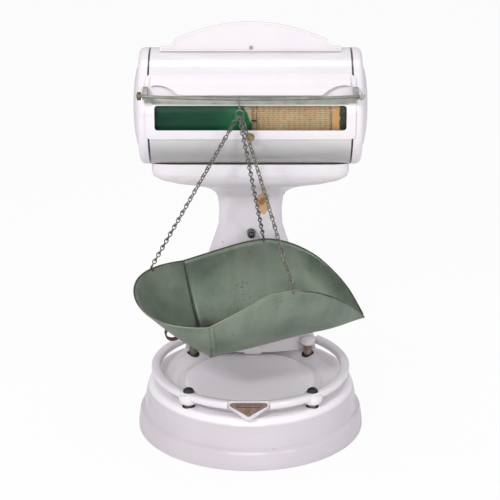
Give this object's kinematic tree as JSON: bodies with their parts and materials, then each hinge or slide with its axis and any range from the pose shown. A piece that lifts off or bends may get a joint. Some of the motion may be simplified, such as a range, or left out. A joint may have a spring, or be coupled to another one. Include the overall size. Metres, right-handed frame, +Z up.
{
  "type": "counter computing scale",
  "caption": "White enamelled counter scale with a chart drum in a horizontal barrel on a waisted column, an open platform ring over a bell base and a tin scoop hung on chains",
  "frame": {"origin": "centre of the base at the surface it stands on", "axes": "+X to the right as the reading window is faced, the window faces -Y, +Z is up"},
  "size_m": [0.395, 0.39, 0.6943],
  "materials": {
    "enamel": "gloss",
    "barrel_paint": "satin",
    "glass": "gloss",
    "nickel": "satin",
    "brass": "satin",
    "mask_green": "gloss",
    "black_wire": "matte",
    "aluminium": "satin",
    "chart_paper": "matte",
    "cast_iron": "matte",
    "steel": "satin",
    "post_nickel": "satin",
    "rubber": "matte",
    "copper": "satin",
    "vial_glass": "gloss",
    "black_knob": "gloss",
    "tinplate": "satin",
    "dark_strap": "matte",
    "chain_steel": "satin"
  },
  "bodies": {
    "frame": {"base_casting": "enamel", "column_casting": "enamel", "barrel_cover": "barrel_paint", "left_end_cap": "enamel", "right_end_cap": "enamel", "window_bezel": "enamel", "window_glass": "glass", "window_hood": "enamel", "window_rail": "nickel", "crest_plate": "enamel", "crest_screw": "steel", "hanger_rod": "nickel", "rod_nuts": "nickel", "price_mask": "mask_green", "index_pointer": "black_wire", "left_bearing_bracket": "steel", "right_bearing_bracket": "steel", "front_weighing_spring": "steel", "rear_weighing_spring": "steel", "fulcrum_stands": "cast_iron", "dashpot_cup": "nickel", "post_grommets": "rubber", "zero_bushing": "nickel", "column_bolts": "steel"},
    "platform": {"platform_ring": "enamel", "platform_posts": "post_nickel", "rubber_bumpers": "rubber", "platform_cradle": "cast_iron", "level_plate": "copper", "level_vial": "vial_glass", "level_screw": "brass"},
    "lever": {"main_lever": "cast_iron", "lever_pins": "steel", "dashpot_piston": "brass"},
    "rack_bar": {"draw_rod": "steel", "rack": "brass"},
    "chart": {"chart_drum": "aluminium", "chart_sheet": "chart_paper", "drum_spiders": "cast_iron", "drum_shaft": "steel", "pinion": "brass"},
    "zero_adjuster": {"zero_knob": "black_knob"},
    "thumb_nut": {"bezel_thumb_nut": "brass"},
    "foot_front_left": {"front_left_foot": "steel"},
    "foot_front_right": {"front_right_foot": "steel"},
    "foot_rear_left": {"rear_left_foot": "steel"},
    "foot_rear_right": {"rear_right_foot": "steel"},
    "hanger": {"chain_hook": "steel"},
    "scoop": {"scoop_pan": "tinplate", "scoop_end_panel": "tinplate", "scoop_handle": "dark_strap", "left_chain": "chain_steel", "far_chain": "chain_steel", "near_chain": "chain_steel"}
  },
  "joints": [
    {"name": "platform_slide", "type": "slide", "parent": "frame", "child": "platform", "axis": [0, 0, -1], "range_m": [0, 0.004], "stiffness_N_per_m": 27000, "springref_m": -0.003},
    {"name": "lever_tilt", "type": "hinge", "parent": "frame", "child": "lever", "pos_m": [0, -0.075, 0.044], "axis": [-1, 0, 0], "range_deg": [0, 4.7]},
    {"name": "rack_slide", "type": "slide", "parent": "frame", "child": "rack_bar", "axis": [0, 0, -1], "range_m": [0, 0.01575], "deforming": ["front_weighing_spring", "rear_weighing_spring"]},
    {"name": "chart_spin", "type": "hinge", "parent": "frame", "child": "chart", "pos_m": [0, 0.085, 0.547], "axis": [-1, 0, 0], "range_deg": [0, 300.5]},
    {"name": "zero_turn", "type": "hinge", "parent": "frame", "child": "zero_adjuster", "pos_m": [0.0015, 0.084, 0.316], "axis": [0, -1, 0], "range_deg": [-180, 180]},
    {"name": "thumb_nut_turn", "type": "hinge", "parent": "frame", "child": "thumb_nut", "pos_m": [0, 0, 0.52], "axis": [0, -1, 0], "range_deg": [-180, 180]},
    {"name": "front_left_foot_turn", "type": "hinge", "parent": "frame", "child": "foot_front_left", "pos_m": [-0.11526, -0.11526, 0.012], "axis": [0, 0, 1], "range_deg": [-180, 180]},
    {"name": "front_right_foot_turn", "type": "hinge", "parent": "frame", "child": "foot_front_right", "pos_m": [0.11526, -0.11526, 0.012], "axis": [0, 0, 1], "range_deg": [-180, 180]},
    {"name": "rear_left_foot_turn", "type": "hinge", "parent": "frame", "child": "foot_rear_left", "pos_m": [-0.11526, 0.11526, 0.012], "axis": [0, 0, 1], "range_deg": [-180, 180]},
    {"name": "rear_right_foot_turn", "type": "hinge", "parent": "frame", "child": "foot_rear_right", "pos_m": [0.11526, 0.11526, 0.012], "axis": [0, 0, 1], "range_deg": [-180, 180]},
    {"name": "hook_swing", "type": "hinge", "parent": "frame", "child": "hanger", "pos_m": [-0.0177, -0.041, 0.59105], "axis": [-1, 0, 0], "range_deg": [-0.3, 25]},
    {"name": "scoop_swing", "type": "hinge", "parent": "hanger", "child": "scoop", "pos_m": [-0.0177, -0.0441, 0.56705], "axis": [0, -1, 0], "range_deg": [-0.4, 1.6]}
  ],
  "couplings": [
    {"joint": "lever_tilt", "follows": "platform_slide", "rad_per_m": 20.34},
    {"joint": "rack_slide", "follows": "platform_slide", "ratio": 3.925},
    {"joint": "chart_spin", "follows": "platform_slide", "rad_per_m": 1308.3}
  ]
}
